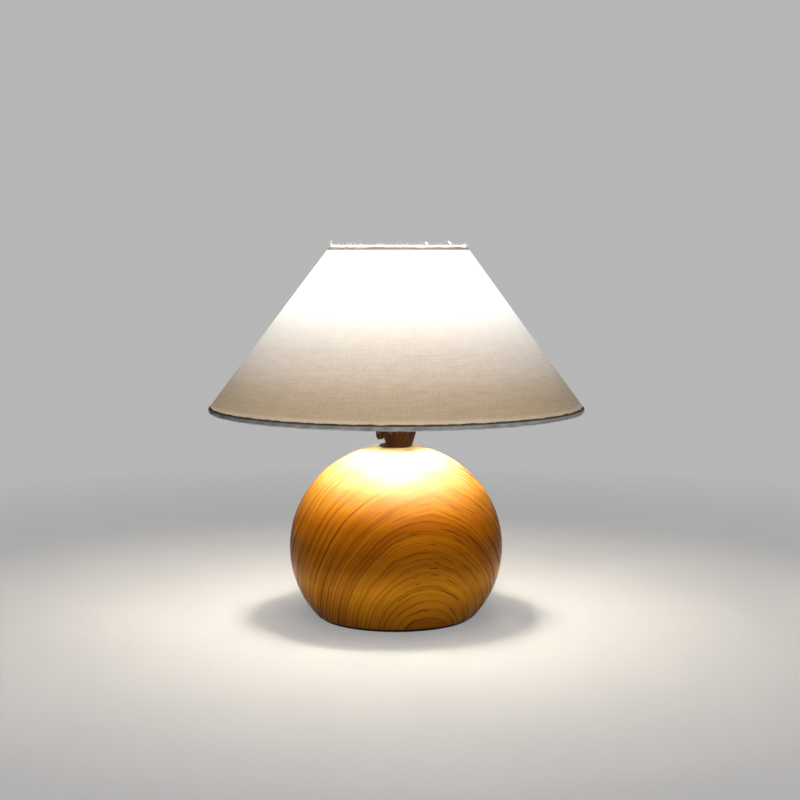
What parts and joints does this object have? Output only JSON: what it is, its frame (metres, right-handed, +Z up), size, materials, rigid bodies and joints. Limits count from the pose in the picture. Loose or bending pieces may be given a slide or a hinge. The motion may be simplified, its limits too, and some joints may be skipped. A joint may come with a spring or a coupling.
{
  "type": "table lamp",
  "caption": "Small table lamp with a turned wooden ball base, a screw lampholder and a conical fabric shade that turns under a retaining ring.",
  "frame": {"origin": "centre of the foot pad's underside, on the surface the lamp stands on", "axes": "+Z up along the lamp's turning axis, -Y the front that the picture shows, +Y the back where the cord inlet is"},
  "size_m": [0.25, 0.25, 0.2494],
  "materials": {
    "wood": "satin lacquer",
    "felt": "black felt",
    "black_plastic": "matt",
    "zinc_steel": "zinc plated",
    "holder_plastic": "dark brown, satin",
    "cream_block": "matt",
    "contact_brass": "bright",
    "white_metal": "white enamel",
    "shade_fabric": "plain woven cream cotton on a white laminate",
    "hem_fabric": "turned plain weave",
    "bulb_glass": "frosted white inside",
    "cap_metal": "nickel plated",
    "insulator_glass": "dark fused insulator",
    "solder": "dull"
  },
  "bodies": {
    "base": {"ball_body": "wood", "foot_pad": "felt", "cord_inlet": "black_plastic", "centre_tube": "zinc_steel", "tube_washer": "zinc_steel", "tube_nut": "zinc_steel", "holder_dome": "holder_plastic", "holder_tabs": "holder_plastic", "holder_grub_screw": "zinc_steel", "holder_sleeve": "holder_plastic", "terminal_block": "cream_block", "terminal_screws": "contact_brass", "centre_contact": "contact_brass", "screw_shell": "contact_brass"},
    "ring": {"retaining_ring": "holder_plastic"},
    "shade": {"shade_fitter": "white_metal", "shade_arms": "white_metal", "shade_skin": "shade_fabric", "bottom_wire": "white_metal", "bottom_hem": "hem_fabric", "top_wire": "white_metal", "top_hem": "hem_fabric"},
    "bulb": {"bulb_globe": "bulb_glass", "bulb_cap": "cap_metal", "bulb_insulator": "insulator_glass", "bulb_tip": "solder"}
  },
  "joints": [
    {"name": "shade_turn", "type": "hinge", "parent": "base", "child": "shade", "pos_m": [0, 0, 0.14072], "axis": [0, 0, 1], "continuous": true},
    {"name": "ring_unscrew", "type": "hinge", "parent": "base", "child": "ring", "pos_m": [0, 0, 0.145], "axis": [0, 0, 1], "range_deg": [0, 1080]},
    {"name": "bulb_unscrew", "type": "hinge", "parent": "base", "child": "bulb", "pos_m": [0, 0, 0.153], "axis": [0, 0, 1], "range_deg": [0, 1440]}
  ]
}
